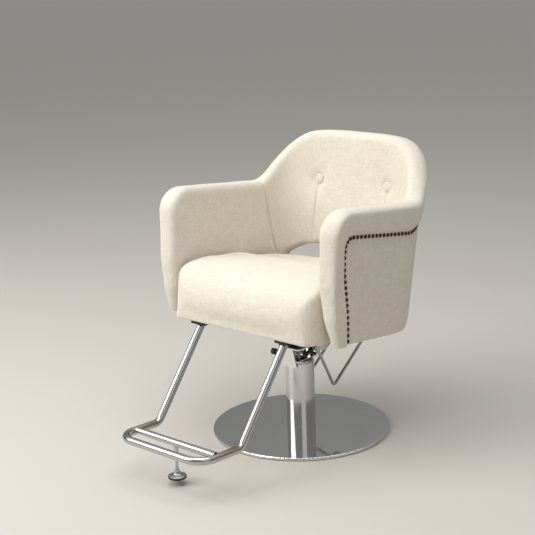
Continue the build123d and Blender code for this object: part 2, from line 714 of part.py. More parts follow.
with BuildPart() as back_pad:
    add(tub_wall.part)
    with BuildSketch(side.offset(-SLOT_HALF)):
        Rectangle(4 * FAR, 4 * FAR)
    extrude(amount=2 * SLOT_HALF, mode=Mode.INTERSECT)
    with BuildSketch(front.offset(-FAR)):
        add(slot_face(-2))
    extrude(amount=FAR, mode=Mode.SUBTRACT)
    with Locations(front.offset(-INNER_REAR - 24)):
        with Locations((BUTTON_X, BUTTON_W), (-BUTTON_X, BUTTON_W)):
            Cylinder(BUTTON_R, 40, align=(Align.CENTER, Align.CENTER, Align.MIN), mode=Mode.SUBTRACT)
save(back_pad.part, "back_pad")

for label, limits in SIDES:
    with BuildPart() as side_panel:
        add(cover)
        with BuildSketch(deck):
            with Locations((sum(limits) / 2, (ARM_FRONT_V + PANEL_SPLIT_V) / 2)):
                Rectangle(FAR, PANEL_SPLIT_V - ARM_FRONT_V)
        extrude(amount=BACK_TRIM_W, mode=Mode.INTERSECT)
    save(side_panel.part, f"{label}_side_panel")

with BuildPart() as rear_panel:
    add(cover)
    with BuildSketch(deck):
        with Locations((0, (PANEL_SPLIT_V + FAR) / 2)):
            Rectangle(2 * FAR, FAR - PANEL_SPLIT_V)
    extrude(amount=BACK_TRIM_W, mode=Mode.INTERSECT)
    with BuildSketch(front.offset(-FAR)):
        add(slot_face(SLOT_BOTTOM))
    extrude(amount=FAR, mode=Mode.SUBTRACT)
save(rear_panel.part, "rear_panel")

# ================================================================ buttons and nails
BUTTON_SEAT_V = INNER_REAR + 4.0
STEP = 0.002
EDGE_STEPS = 160
with BuildPart() as back_buttons:
    with BuildSketch(front.offset(-BUTTON_SEAT_V - 6)):
        with Locations((BUTTON_X, BUTTON_W), (-BUTTON_X, BUTTON_W)):
            Circle(BUTTON_R)
    extrude(amount=10)
    fillet(back_buttons.edges().filter_by(GeomType.CIRCLE).group_by(Axis.Y)[0], 3)
save(back_buttons.part, "back_buttons")


def panel_point(t, w):
    """A deck point on the panel's left half: t is -1 at the arm's front, 0 at the curve, 1 at the back."""
    half, rear = at_height(PANEL, w)
    if t < 0:
        return Vector(half, CURVE_V + t * (CURVE_V - ARM_FRONT_V), w)
    pull = SQUARENESS * (rear - CURVE_V)
    ctrl = ((half, CURVE_V), (half, CURVE_V + pull), (half * SQUARENESS, rear), (0, rear))
    weights = ((1 - t) ** 3, 3 * t * (1 - t) ** 2, 3 * t * t * (1 - t), t ** 3)
    return Vector(*(sum(k * c[i] for k, c in zip(weights, ctrl)) for i in (0, 1)), w)


def panel_spot(v, w):
    """The point of the panel at a place in its side view, and the outward direction there."""
    low, high = -1.0, 1.0
    while high - low > 1e-6:
        t = (low + high) / 2
        low, high = (t, high) if panel_point(t, w).Y < v else (low, t)
    along = panel_point(low + STEP, w) - panel_point(low - STEP, w)
    upward = panel_point(low, w + 1) - panel_point(low, w - 1)
    return panel_point(low, w), along.cross(upward).normalized()


def nail_seats():
    """Deck points and outward directions of the nails on the left half, evenly spaced inside the edge."""
    edge = trim_edge()
    views = [edge @ (k / EDGE_STEPS) for k in range(1, EDGE_STEPS + 1)]
    views = [(p.X, p.Y) for p in views]
    # the level run across the back, denser towards its middle, where the panel turns square to the view
    start, rear = TRIM_SWEEP[-1][0], at_height(PANEL, BACK_TRIM_W)[1]
    views += [(rear - (rear - start) * (1 - k / 20) ** 2, BACK_TRIM_W) for k in range(1, 20)]
    spots = [panel_spot(v, w) for v, w in views]
    seats, carried = [], NAIL_PITCH / 2
    for (a, out), (b, _) in zip(spots, spots[1:]):
        run = b - a
        inset = out.cross(run).normalized() * (NAIL_R + NAIL_GAP)
        while carried < run.length:
            seats.append((a + run * (carried / run.length) - inset, out))
            carried += NAIL_PITCH
        carried -= run.length
    return seats


def deck_plane(point, out):
    """The plane on a deck point that faces a deck direction."""
    facing = deck.x_dir * out.X + deck.y_dir * out.Y + deck.z_dir * out.Z
    return Plane(origin=to_deck(*point), z_dir=facing)


with BuildPart() as nail:
    with BuildSketch():
        Circle(NAIL_R)
    extrude(amount=NAIL_H)
    fillet(nail.edges().filter_by(GeomType.CIRCLE).group_by(Axis.Z)[-1], NAIL_H - 0.4)
    with BuildSketch():
        Circle(1)
    extrude(amount=-4)

nail_planes = []
for point, out in nail_seats():
    nail_planes.append(deck_plane(point, out))
    nail_planes.append(deck_plane(Vector(-point.X, point.Y, point.Z), Vector(-out.X, out.Y, out.Z)))
trim_nails = Compound(children=[nail.part.solid().moved(seat.location) for seat in nail_planes])
save(trim_nails, "trim_nails")

# ================================================================ footrest
LEG_LINE = (LEG_TOP[0] - LEG_BEND[0], LEG_TOP[1] - LEG_BEND[1])
LEG_START = (LEG_TOP[0] + 0.2 * LEG_LINE[0], LEG_TOP[1] + 0.2 * LEG_LINE[1])
with BuildPart() as footrest_tube:
    with BuildLine():
        FilletPolyline(
            (RAIL_X, *LEG_START), (RAIL_X, *LEG_BEND), (RAIL_X, *FRONT_BAR),
            (-RAIL_X, *FRONT_BAR), (-RAIL_X, *LEG_BEND), (-RAIL_X, *LEG_START),
            radius=(30, 52, 52, 30),
        )
    with BuildSketch(Plane(origin=(RAIL_X, *LEG_START), z_dir=(0, -LEG_LINE[0], -LEG_LINE[1]))):
        Circle(TUBE_R)
        Circle(TUBE_R - TUBE_WALL, mode=Mode.SUBTRACT)
    sweep()
    with BuildSketch(deck.offset(-FLANGE[2])):
        Rectangle(2 * FAR, 4 * FAR)
    extrude(amount=FAR, mode=Mode.SUBTRACT)
save(footrest_tube.part, "footrest_tube")

with BuildPart() as footrest_flanges:
    with BuildSketch(deck.offset(-FLANGE[2])):
        with Locations((FLANGE_X, FLANGE_V), (-FLANGE_X, FLANGE_V)):
            RectangleRounded(FLANGE[0], FLANGE[1], 5)
        for spot_x in (FLANGE_X, -FLANGE_X):
            with Locations((spot_x - FLANGE_SCREW_X, FLANGE_V), (spot_x + FLANGE_SCREW_X, FLANGE_V)):
                Circle(2.6, mode=Mode.SUBTRACT)
    extrude(amount=FLANGE[2])
save(footrest_flanges.part, "footrest_flanges")

with BuildPart() as flange_screws:
    for spot_x in (FLANGE_X, -FLANGE_X):
        with BuildSketch(deck.offset(-FLANGE[2] - 2.5)):
            with Locations((spot_x - FLANGE_SCREW_X, FLANGE_V), (spot_x + FLANGE_SCREW_X, FLANGE_V)):
                Circle(4.6)
                RegularPolygon(2.2, 6, mode=Mode.SUBTRACT)
        extrude(amount=2.5)
        with BuildSketch(deck.offset(-FLANGE[2])):
            with Locations((spot_x - FLANGE_SCREW_X, FLANGE_V), (spot_x + FLANGE_SCREW_X, FLANGE_V)):
                Circle(2.5)
        extrude(amount=FLANGE[2])
save(flange_screws.part, "flange_screws")

# The crossbar's ends are coped to the rails, which rise a little towards the front.
RAIL_RUN = (FRONT_BAR[0] - LEG_BEND[0], FRONT_BAR[1] - LEG_BEND[1])
with BuildPart() as rail_bores:
    for rail_x in (RAIL_X, -RAIL_X):
        with BuildSketch(Plane(origin=(rail_x, *LEG_BEND), z_dir=(0, *RAIL_RUN))):
            Circle(TUBE_R + RUN_GAP)
        extrude(amount=hypot(*RAIL_RUN))

with BuildPart() as footrest_crossbar:
    with BuildSketch(upright.offset(-RAIL_X + TUBE_R - 2)):
        with Locations(CROSS_BAR):
            Circle(CROSS_R)
            Circle(CROSS_R - TUBE_WALL, mode=Mode.SUBTRACT)
    extrude(amount=2 * (RAIL_X - TUBE_R + 2))
    add(rail_bores.part, mode=Mode.SUBTRACT)
    with BuildSketch(Plane.XY.offset(CROSS_BAR[1] - CROSS_R - 1)):
        with Locations((0, CROSS_BAR[0])):
            Circle(STEM_R + 0.5)
    extrude(amount=CROSS_R, mode=Mode.SUBTRACT)
save(footrest_crossbar.part, "footrest_crossbar")

with BuildPart() as foot_boss:
    with BuildSketch(Plane.XY.offset(BOSS_BOTTOM)):
        with Locations((0, CROSS_BAR[0])):
            Circle(BOSS_R)
            Circle(STEM_R + RUN_GAP, mode=Mode.SUBTRACT)
    extrude(amount=CROSS_BAR[1] - BOSS_BOTTOM)
    with BuildSketch(upright.offset(-30)):
        with Locations(CROSS_BAR):
            Circle(CROSS_R)
    extrude(amount=60, mode=Mode.SUBTRACT)
save(foot_boss.part, "foot_boss")

# ================================================================ levelling foot
with BuildPart() as foot_stem:
    with BuildSketch(Plane.XY.offset(STEM_BOTTOM)):
        with Locations((0, CROSS_BAR[0])):
            Circle(STEM_R)
    extrude(amount=STEM_TOP - STEM_BOTTOM)
    with BuildSketch(Plane.XY.offset(PAD_BOTTOM + 17)):
        with Locations((0, CROSS_BAR[0])):
            RegularPolygon(7, 6)
    extrude(amount=7)
    chamfer(foot_stem.edges().filter_by(GeomType.CIRCLE).group_by(Axis.Z)[-1], 0.8)
save(foot_stem.part, "foot_stem")

foot_axis = Plane(origin=(0, CROSS_BAR[0], 0), x_dir=(1, 0, 0), z_dir=(0, -1, 0))
foot_line = Axis((0, CROSS_BAR[0], 0), (0, 0, 1))
with BuildPart() as foot_pad:
    with BuildSketch(foot_axis):
        with BuildLine():
            Polyline(
                (STEM_R + RUN_GAP, PAD_BOTTOM + 16.5), (STEM_R + RUN_GAP, PAD_BOTTOM + 11),
                (0, PAD_BOTTOM + 11), (0, PAD_BOTTOM + 5), (PAD_R - 1, PAD_BOTTOM + 5),
                (PAD_R - 1, PAD_BOTTOM + 7),
            )
            Spline(
                (PAD_R - 1, PAD_BOTTOM + 7), (PAD_R * 0.55, PAD_BOTTOM + 11), (9, PAD_BOTTOM + 16.5),
                tangents=((-0.8, 0.4), (0, 1)),
            )
            Line((9, PAD_BOTTOM + 16.5), (STEM_R + RUN_GAP, PAD_BOTTOM + 16.5))
        make_face()
    revolve(axis=foot_line)
save(foot_pad.part, "foot_pad")

with BuildPart() as foot_rubber:
    with BuildSketch(Plane.XY.offset(PAD_BOTTOM)):
        with Locations((0, CROSS_BAR[0])):
            Circle(PAD_R)
    extrude(amount=5)
    chamfer(foot_rubber.edges().group_by(Axis.Z)[0], 1)
save(foot_rubber.part, "foot_rubber")
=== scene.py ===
import json
from math import cos, pi, radians, sin, sqrt, tan

import bmesh
import bpy
import numpy as np
from mathutils import Matrix, Vector


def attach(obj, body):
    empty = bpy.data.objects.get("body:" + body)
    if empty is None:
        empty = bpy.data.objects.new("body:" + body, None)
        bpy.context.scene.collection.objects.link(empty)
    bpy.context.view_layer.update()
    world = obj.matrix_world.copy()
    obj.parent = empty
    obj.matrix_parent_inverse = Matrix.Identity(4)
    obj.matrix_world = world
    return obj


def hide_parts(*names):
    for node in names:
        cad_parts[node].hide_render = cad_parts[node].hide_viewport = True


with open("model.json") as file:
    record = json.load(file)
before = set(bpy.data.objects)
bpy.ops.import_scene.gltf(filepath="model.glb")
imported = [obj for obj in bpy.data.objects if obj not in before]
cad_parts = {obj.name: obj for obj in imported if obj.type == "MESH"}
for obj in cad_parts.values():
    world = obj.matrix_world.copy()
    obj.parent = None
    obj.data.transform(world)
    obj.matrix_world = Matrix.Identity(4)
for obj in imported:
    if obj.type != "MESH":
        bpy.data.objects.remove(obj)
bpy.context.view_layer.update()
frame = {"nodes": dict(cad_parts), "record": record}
nodes = frame["nodes"]
scene = bpy.context.scene

# ---------------------------------------------------------------- sizes in the deck's frame, millimetres
# x is sideways, v runs back along the deck and w stands square to it. The arms are straight up to CURVE_V.
TILT = radians(6.2)
DECK_Z = 331.0
CURVE_V = 45.0
# tub outlines in plan: half width, rear, and how square the corner between them is
SQUARE = 0.62
MID = (303.0, 267.0, SQUARE)
OUTER = (344.0, 312.0, SQUARE)
INNER = (262.0, 222.0, 0.84)
# half thickness of the padded wall, and the radii of its two long edges and of its corner in the side view
WALL_T, INNER_R, OUTER_R, CORNER_R = 41.0, 22.0, 41.0, 70.0
# outer panel: height, half width and rear at its foot and its top, and the radius under its rear
PANEL_FOOT, PANEL_TOP, FOOT_R = (0.0, 307.0, 251.8), (463.0, 321.0, 301.0), 38.0
# nailed edge in the side view: the front edge as height and v, the upper edge as v and height
TRIM_FRONT = ((0, -168), (101, -183), (181, -202), (265, -211))
TRIM_UPPER = (
    (-175, 301), (77, 291), (104, 294), (136, 305), (170, 340), (205, 400), (238, 443), (272, 463),
)
TRIM_TOP, TRIM_R = 301.0, 36.0
# the cover lies this far outside the padding's recess, which closes with this radius
SINK, CURL_R = 3.0, 15.0
# slot above the seat: its arch as half width and height, its foot, and the covered rail's thickness
SLOT_ARCH = (
    (0, 188), (100, 188), (139, 184), (171, 177), (196, 166), (214, 154), (224, 146), (228, 100), (232, 0),
)
SLOT_LOW, RAIL_T = 118.0, 23.0
# the slot is cut behind SLOT_V; ahead of it the cut's field stays CLEAR outside the wall
SLOT_V, CLEAR = 100.0, 40.0
# crest height against the mid line's half width, from the middle of the back out to the arms
CREST = (
    (0, 533), (60, 533), (120, 531), (160, 527), (185, 519), (200, 511), (228, 485), (245, 461),
    (262, 430), (274, 399), (285, 374), (293, 367), (303, 367),
)
# arm front: height, front face, half thickness
ARM_FRONT = (
    (-20, -205, 14), (0, -210, 18), (30, -222, 23), (75, -238, 32), (165, -252, 41), (300, -260, 41),
)
# covered buttons: half distance and height, and the dimple's depths with their widths
BUTTON = (127.7, 384.0)
DIMPLE = ((11.0, 17.0), (5.0, 46.0))
BUTTON_R, BUTTON_RISE, BUTTON_BACK = 15.5, 4.5, 226.5
# sewn lines: the pleat as half width and height, the seam beside the arm as station and height
PLEAT = ((127.7, 368.0), (131.0, 300.0), (134.0, 240.0), (136.0, 196.0))
SEAM = ((128.0, 372.0), (140.0, 330.0), (160.0, 250.0), (190.0, 150.0))
# footrest tube: half distance of the legs, radius, flange thickness, corners as y and z, and bend radii
RAIL_X, TUBE_R, FLANGE_T = 155.0, 11.0, 6.0
LEG_TOP, LEG_BEND, FRONT_BAR = (-207.6, 390.6), (-426.0, 111.0), (-575.0, 117.0)
BEND_R = (30.0, 52.0, 52.0, 30.0)


def panel_row(w):
    """Height, half width and rear of the outer panel at a height."""
    share = w / PANEL_TOP[0]
    half, rear = (low + (high - low) * share for low, high in zip(PANEL_FOOT[1:], PANEL_TOP[1:]))
    under = max(FOOT_R - w, 0)
    return w, half, rear - FOOT_R + sqrt(FOOT_R ** 2 - under ** 2)


PANEL = [panel_row(w) for w in (6, 12, 20, 30, FOOT_R, PANEL_TOP[0])]


def to_world(points):
    """Deck coordinates (x, v, w) in millimetres to the row frame in metres."""
    p = np.asarray(points, float).reshape(-1, 3)
    x, v, w = p.T
    return np.stack([x, v * cos(TILT) + w * sin(TILT), DECK_Z - v * sin(TILT) + w * cos(TILT)], 1) / 1000


def to_deck(points):
    """Row frame in metres back to deck millimetres."""
    p = np.asarray(points, float).reshape(-1, 3) * 1000
    x, y, z = p[:, 0], p[:, 1], p[:, 2] - DECK_Z
    return np.stack([x, y * cos(TILT) - z * sin(TILT), y * sin(TILT) + z * cos(TILT)], 1)


def table(pairs, x, column=1):
    """Linear lookup in a table of rows that start with the key."""
    rows = np.array(pairs, float)
    return np.interp(x, rows[:, 0], rows[:, column])


def tub_curve(half, rear, square, count=64):
    """Plan points of half a tub outline, from the end of the straight arm to the middle of the back."""
    t = np.linspace(0, 1, count)[:, None]
    pull = square * (rear - CURVE_V)
    ctrl = np.array([(half, CURVE_V), (half, CURVE_V + pull), (half * square, rear), (0, rear)])
    return ((1 - t) ** 3 * ctrl[0] + 3 * t * (1 - t) ** 2 * ctrl[1]
            + 3 * t * t * (1 - t) * ctrl[2] + t ** 3 * ctrl[3])


FRONT_END, BACK_END = -400.0, 400.0
spine = np.vstack([[(MID[0], FRONT_END)], tub_curve(*MID)])
spine_s = np.concatenate([[0], np.cumsum(np.linalg.norm(np.diff(spine, axis=0), axis=1))]) + FRONT_END
S_LINE = np.arange(FRONT_END, spine_s[-1] + 1, 1.0)


def along(points):
    """Station along the tub's mid line and signed distance outwards from it, for plan points (|x|, v)."""
    p = np.asarray(points, float)
    best = np.full(len(p), 1e9)
    station = np.zeros(len(p))
    offset = np.zeros(len(p))
    for a, b, s0 in zip(spine, spine[1:], spine_s):
        d = b - a
        size = np.hypot(*d)
        k = np.clip(((p - a) @ d) / size ** 2, 0, 1)
        gap = p - a - k[:, None] * d
        dist = np.hypot(gap[:, 0], gap[:, 1])
        closer = dist < best
        side = np.sign(gap[:, 0] * d[1] - gap[:, 1] * d[0])
        best = np.where(closer, dist, best)
        station = np.where(closer, s0 + k * size, station)
        offset = np.where(closer, side * dist, offset)
    return station, offset


def offset_of(curve):
    """Offset and v of another tub outline, by station."""
    half = curve[0]
    pts = np.vstack([[(half, FRONT_END), (half, 0)], tub_curve(*curve)])
    s, n = along(pts)
    return np.interp(S_LINE, s, n), np.interp(S_LINE, s, pts[:, 1])


def blur(values, reach):
    """Values smoothed along their length by a Gaussian of the given number of samples."""
    k = np.exp(-0.5 * (np.arange(-3 * reach, 3 * reach + 1) / reach) ** 2)
    padded = np.pad(values, 3 * reach, mode="edge")
    return np.convolve(padded, k / k.sum(), "valid")


# the crest and the nailed edge are smoothed along their length by these millimetres
CREST_BLUR, TRIM_BLUR = 9, 7
mid_x = np.interp(S_LINE, spine_s, spine[:, 0])
crest_line = blur(table(CREST, mid_x), CREST_BLUR)
crest_slope = np.gradient(crest_line)
inner_n = offset_of(INNER)[0]
outer_n = offset_of(OUTER)[0]
panel_lines = [offset_of((half, rear, SQUARE)) for _, half, rear in PANEL]
V_LINE = np.arange(FRONT_END, BACK_END, 1.0)
trim_line = blur(table(TRIM_UPPER, V_LINE), TRIM_BLUR)
trim_slope = np.gradient(trim_line)


def soft_max(a, b, k):
    """The larger of two fields, rounded over k millimetres where they meet."""
    h = np.clip(0.5 + 0.5 * (a - b) / k, 0, 1)
    return b + (a - b) * h + k * h * (1 - h)


def surface_net(field, origin, step):
    """Quads through the zero of a field sampled on a grid; the inside is negative."""
    inside = field < 0
    cells = np.zeros(tuple(n - 1 for n in field.shape), np.uint8)
    for i in (0, 1):
        for j in (0, 1):
            for k in (0, 1):
                spans = [slice(c, n - 1 + c) for c, n in zip((i, j, k), inside.shape)]
                cells += inside[tuple(spans)]
    active = (cells > 0) & (cells < 8)
    index = np.full(cells.shape, -1)
    index[active] = np.arange(active.sum())
    cell = np.argwhere(active)
    total, count = np.zeros((len(cell), 3)), np.zeros(len(cell))
    for axis in range(3):
        others = [a for a in range(3) if a != axis]
        for i in (0, 1):
            for j in (0, 1):
                low = cell.copy()
                low[:, others[0]] += i
                low[:, others[1]] += j
                high = low.copy()
                high[:, axis] += 1
                f0, f1 = field[tuple(low.T)], field[tuple(high.T)]
                cut = (f0 < 0) != (f1 < 0)
                t = np.where(cut, f0 / np.where(cut, f0 - f1, 1), 0)
                point = (low - cell).astype(float)
                point[:, axis] = t
                total += point * cut[:, None]
                count += cut
    verts = np.asarray(origin) + step * (cell + total / count[:, None])
    quads = []
    for axis, (b, c) in ((0, (1, 2)), (1, (2, 0)), (2, (0, 1))):
        first = np.moveaxis(inside, (axis, b, c), (0, 1, 2))
        grid = np.moveaxis(index, (axis, b, c), (0, 1, 2))
        a0, a1 = first[:-1, 1:-1, 1:-1], first[1:, 1:-1, 1:-1]
        i, j, k = np.nonzero(a0 != a1)
        loop = np.stack([grid[i, j, k], grid[i, j + 1, k], grid[i, j + 1, k + 1], grid[i, j, k + 1]], 1)
        flip = ~a0[i, j, k]
        loop[flip] = loop[flip][:, ::-1]
        quads.append(loop)
    return verts, np.vstack(quads)


def add_mesh(name, verts, faces, material=None):
    """A smooth-shaded object from points in metres in the row frame."""
    mesh = bpy.data.meshes.new(name)
    mesh.from_pydata([tuple(v) for v in verts], [], [tuple(int(i) for i in f) for f in faces])
    mesh.polygons.foreach_set("use_smooth", [True] * len(mesh.polygons))
    obj = bpy.data.objects.new(name, mesh)
    scene.collection.objects.link(obj)
    if material:
        mesh.materials.append(material)
    return obj


def apply_modifiers(obj):
    """Replaces an object's mesh by what its modifiers make of it."""
    dg = bpy.context.evaluated_depsgraph_get()
    made = bpy.data.meshes.new_from_object(obj.evaluated_get(dg))
    obj.modifiers.clear()
    obj.data = made


def co_of(obj):
    co = np.zeros(len(obj.data.vertices) * 3)
    obj.data.vertices.foreach_get("co", co)
    return co.reshape(-1, 3)


def set_co(obj, co):
    obj.data.vertices.foreach_set("co", np.ascontiguousarray(co, float).ravel())
    obj.data.update()


def normals_of(obj):
    no = np.zeros(len(obj.data.vertices) * 3)
    obj.data.vertices.foreach_get("normal", no)
    return no.reshape(-1, 3)


def line_distance(points, line):
    """Distance from each point to a polyline."""
    p = np.asarray(points, float)
    best = np.full(len(p), 1e9)
    for a, b in zip(line, line[1:]):
        a, b = np.array(a, float), np.array(b, float)
        d = b - a
        k = np.clip(((p - a) @ d) / (d @ d), 0, 1)
        best = np.minimum(best, np.linalg.norm(p - a - k[:, None] * d, axis=1))
    return best


# ---------------------------------------------------------------- materials
def principled(name, color, rough, metallic=0.0, **sockets):
    mat = bpy.data.materials.new(name)
    mat.use_nodes = True
    bsdf = mat.node_tree.nodes["Principled BSDF"]
    bsdf.inputs["Base Color"].default_value = (*color, 1)
    bsdf.inputs["Roughness"].default_value = rough
    bsdf.inputs["Metallic"].default_value = metallic
    for key, value in sockets.items():
        bsdf.inputs[key.replace("_", " ")].default_value = value
    return mat, mat.node_tree, bsdf


def node(tree, kind, inputs=(), **props):
    made = tree.nodes.new(kind)
    for key, value in props.items():
        setattr(made, key, value)
    for key, value in dict(inputs).items():
        socket = made.inputs[key]
        if isinstance(value, bpy.types.NodeSocket):
            tree.links.new(value, socket)
        else:
            socket.default_value = value
    return made


def maths(tree, op, a, b=0.0, c=0.0):
    made = node(tree, "ShaderNodeMath", {0: a, 1: b, 2: c}, operation=op)
    return made.outputs[0]


def noise(tree, vector, scale, detail=2.0, rough=0.5, stretch=None):
    """Noise in the given coordinates, optionally stretched along the axes."""
    if stretch:
        vector = node(tree, "ShaderNodeMapping", {"Vector": vector, "Scale": stretch}).outputs[0]
    made = node(tree, "ShaderNodeTexNoise", {
        "Vector": vector, "Scale": scale, "Detail": detail, "Roughness": rough,
    })
    return made.outputs["Fac"]


def ramp(tree, fac, stops):
    made = node(tree, "ShaderNodeValToRGB", {"Fac": fac})
    elements = made.color_ramp.elements
    while len(elements) < len(stops):
        elements.new(0.5)
    for e, (pos, color) in zip(elements, stops):
        e.position = pos
        e.color = (*color, 1)
    return made.outputs[0]


def bump(tree, bsdf, height, strength, distance):
    made = node(tree, "ShaderNodeBump", {"Height": height, "Strength": strength, "Distance": distance})
    tree.links.new(made.outputs[0], bsdf.inputs["Normal"])


# linen: metres between threads, and the noise frequency along and across a thick yarn
THREAD_PITCH = 0.0009
SLUB_ALONG, SLUB_ACROSS = 30, 420


def linen(name, light, dark):
    """Slubby plain weave: fine threads in three projections, thick yarns along them and soft mottling."""
    mat, tree, bsdf = principled(
        name, light, 0.92, Sheen_Weight=0.25, Sheen_Roughness=0.5, Specular_IOR_Level=0.25,
    )
    coords = node(tree, "ShaderNodeTexCoord").outputs["Object"]
    split = node(tree, "ShaderNodeSeparateXYZ", {0: coords}).outputs
    facing = node(tree, "ShaderNodeNewGeometry").outputs["Normal"]
    normal = node(tree, "ShaderNodeSeparateXYZ", {0: facing}).outputs
    weights = [maths(tree, "POWER", maths(tree, "ABSOLUTE", normal[i]), 4.0) for i in range(3)]
    wobble = maths(tree, "MULTIPLY", noise(tree, coords, 160, 2), 12.0)
    turns = 2 * pi / THREAD_PITCH
    wave = [maths(tree, "SINE", maths(tree, "MULTIPLY_ADD", split[i], turns, wobble)) for i in range(3)]
    slub = []
    for run in (2, 1, 0):
        stretch = tuple(SLUB_ALONG if axis == run else SLUB_ACROSS for axis in range(3))
        slub.append(noise(tree, coords, 1.0, 2, 0.6, stretch))
    height, yarn, total = None, None, None
    for weight, (i, j) in zip(weights, ((1, 2), (0, 2), (0, 1))):
        over = maths(tree, "MULTIPLY", wave[i], wave[j])
        streak = maths(tree, "ADD", slub[0 if j == 2 else 1], slub[2 if i == 0 else 1])
        part = maths(tree, "MULTIPLY", weight, over)
        thread = maths(tree, "MULTIPLY", weight, streak)
        height = part if height is None else maths(tree, "ADD", height, part)
        yarn = thread if yarn is None else maths(tree, "ADD", yarn, thread)
        total = weight if total is None else maths(tree, "ADD", total, weight)
    height = maths(tree, "DIVIDE", height, total)
    yarn = maths(tree, "DIVIDE", yarn, total)
    mottle = noise(tree, coords, 28, 3, 0.6)
    tone = maths(tree, "MULTIPLY_ADD", yarn, 0.8, maths(tree, "MULTIPLY_ADD", mottle, 0.2, -0.32))
    tone = maths(tree, "MULTIPLY_ADD", height, 0.03, tone)
    color = ramp(tree, tone, ((0.2, dark), (0.8, light)))
    tree.links.new(color, bsdf.inputs["Base Color"])
    relief = maths(tree, "MULTIPLY_ADD", height, 0.12, yarn)
    bump(tree, bsdf, relief, 0.55, 0.0007)
    return mat


def metal(name, color, rough, spread, scale, bump_size=0.0, metallic=1.0, stretch=None, dark=0.85):
    """Metal with roughness that varies, faint tone changes and optional grain relief."""
    mat, tree, bsdf = principled(name, color, rough, metallic)
    coords = node(tree, "ShaderNodeTexCoord").outputs["Object"]
    grain = noise(tree, coords, scale, 4, 0.6, stretch)
    level = node(tree, "ShaderNodeMapRange", {
        0: grain, 1: 0.3, 2: 0.7, 3: max(rough - spread, 0.02), 4: rough + spread,
    })
    tree.links.new(level.outputs[0], bsdf.inputs["Roughness"])
    cloudy = noise(tree, coords, scale * 0.3, 3, 0.5)
    tint = ramp(tree, cloudy, ((0.3, tuple(c * dark for c in color)), (0.7, color)))
    tree.links.new(tint, bsdf.inputs["Base Color"])
    if bump_size:
        bump(tree, bsdf, grain, 0.4, bump_size)
    return mat


def wood(name):
    """Birch plywood with its plies as stretched noise."""
    dark, light = (0.42, 0.27, 0.14), (0.68, 0.52, 0.34)
    mat, tree, bsdf = principled(name, light, 0.65)
    coords = node(tree, "ShaderNodeTexCoord").outputs["Object"]
    plies = noise(tree, coords, 1.0, 4, 0.5, (14, 90, 400))
    tree.links.new(ramp(tree, plies, ((0.35, dark), (0.7, light))), bsdf.inputs["Base Color"])
    bump(tree, bsdf, plies, 0.3, 0.0004)
    return mat


def soft_black(name, color, rough, scale, size):
    """Rubber or plastic with a fine grain."""
    mat, tree, bsdf = principled(name, color, rough)
    coords = node(tree, "ShaderNodeTexCoord").outputs["Object"]
    grain = noise(tree, coords, scale, 3, 0.6)
    dark, light = (tuple(c * k for c in color) for k in (0.7, 1.5))
    tree.links.new(ramp(tree, grain, ((0.3, dark), (0.75, light))), bsdf.inputs["Base Color"])
    bump(tree, bsdf, grain, 0.35, size)
    return mat


CREAM, SHADE = (0.78, 0.735, 0.64), (0.60, 0.545, 0.45)
fabric = linen("cream_linen", CREAM, SHADE)
looks = {
    "chrome": metal("polished_chrome", (0.66, 0.655, 0.65), 0.13, 0.03, 60, dark=0.97),
    "base_mirror": metal(
        "mirror_stainless", (0.74, 0.73, 0.70), 0.07, 0.035, 18, dark=0.93, stretch=(1, 1, 6),
    ),
    "black_steel": metal("black_enamel_steel", (0.018, 0.018, 0.02), 0.38, 0.1, 240, 0.0003, 0.3),
    "zinc_steel": metal("zinc_plate", (0.52, 0.53, 0.55), 0.32, 0.1, 300, 0.0002),
    "cast_grey": metal("cast_grey", (0.22, 0.22, 0.23), 0.55, 0.12, 180, 0.0006, 0.8),
    "bronze_nail": metal("antique_bronze", (0.085, 0.055, 0.032), 0.34, 0.14, 520, 0.0005, 0.9, dark=0.5),
    "bearing_bronze": metal("bearing_bronze", (0.60, 0.40, 0.20), 0.35, 0.1, 240, 0.0002),
    "rubber": soft_black("dark_rubber", (0.022, 0.022, 0.022), 0.8, 420, 0.0003),
    "black_plastic": soft_black("black_knob", (0.02, 0.02, 0.022), 0.45, 600, 0.0002),
    "plywood": wood("birch_plywood"),
    "cover_fabric": fabric,
}
tube_look = metal("satin_chrome", (0.50, 0.495, 0.485), 0.22, 0.03, 60, dark=0.97)
slot_of = {s["node"]: s["material_slot"] for s in frame["record"]["subparts"]}
BRIGHT_BARS = ("footrest_tube", "footrest_crossbar", "left_lever_rod", "right_lever_rod")
for name, obj in nodes.items():
    obj.data.materials.clear()
    obj.data.materials.append(tube_look if name in BRIGHT_BARS else looks[slot_of[name]])

# ---------------------------------------------------------------- padded tub
VOXEL = 6.0
GRID_X, GRID_V, GRID_W = 357.0, (-276.0, 330.0), (-14.0, 562.0)


def tub_grid(step):
    """Sample places of the tub's field along x, v and w."""
    x = np.arange(-int(GRID_X / step) - 0.5, int(GRID_X / step) + 1.5) * step
    return x, np.arange(*GRID_V, step), np.arange(*GRID_W, step)


def rolled_wall(s, n, height, inner, outer, crest, slope):
    """Padded wall with a softly squared inner edge, a rolled outer edge and rounded arm fronts."""
    full = (outer - inner) / 2
    thick = np.minimum(full, table(ARM_FRONT, height, 2) * full / WALL_T)
    middle = (outer + inner) / 2 * (thick / full)
    past_front = table(ARM_FRONT, height, 1) - s + CORNER_R
    past_top = (height - crest) / np.sqrt(1 + slope ** 2) + CORNER_R
    outline = np.hypot(np.maximum(past_front, 0), np.maximum(past_top, 0)) - CORNER_R
    outline = outline + np.minimum(np.maximum(past_front, past_top), 0)
    turn = np.minimum(np.where(n < middle, INNER_R, OUTER_R), thick)
    across, up = np.abs(n - middle) - (thick - turn), outline + turn
    return np.hypot(np.maximum(across, 0), np.maximum(up, 0)) + np.minimum(np.maximum(across, up), 0) - turn


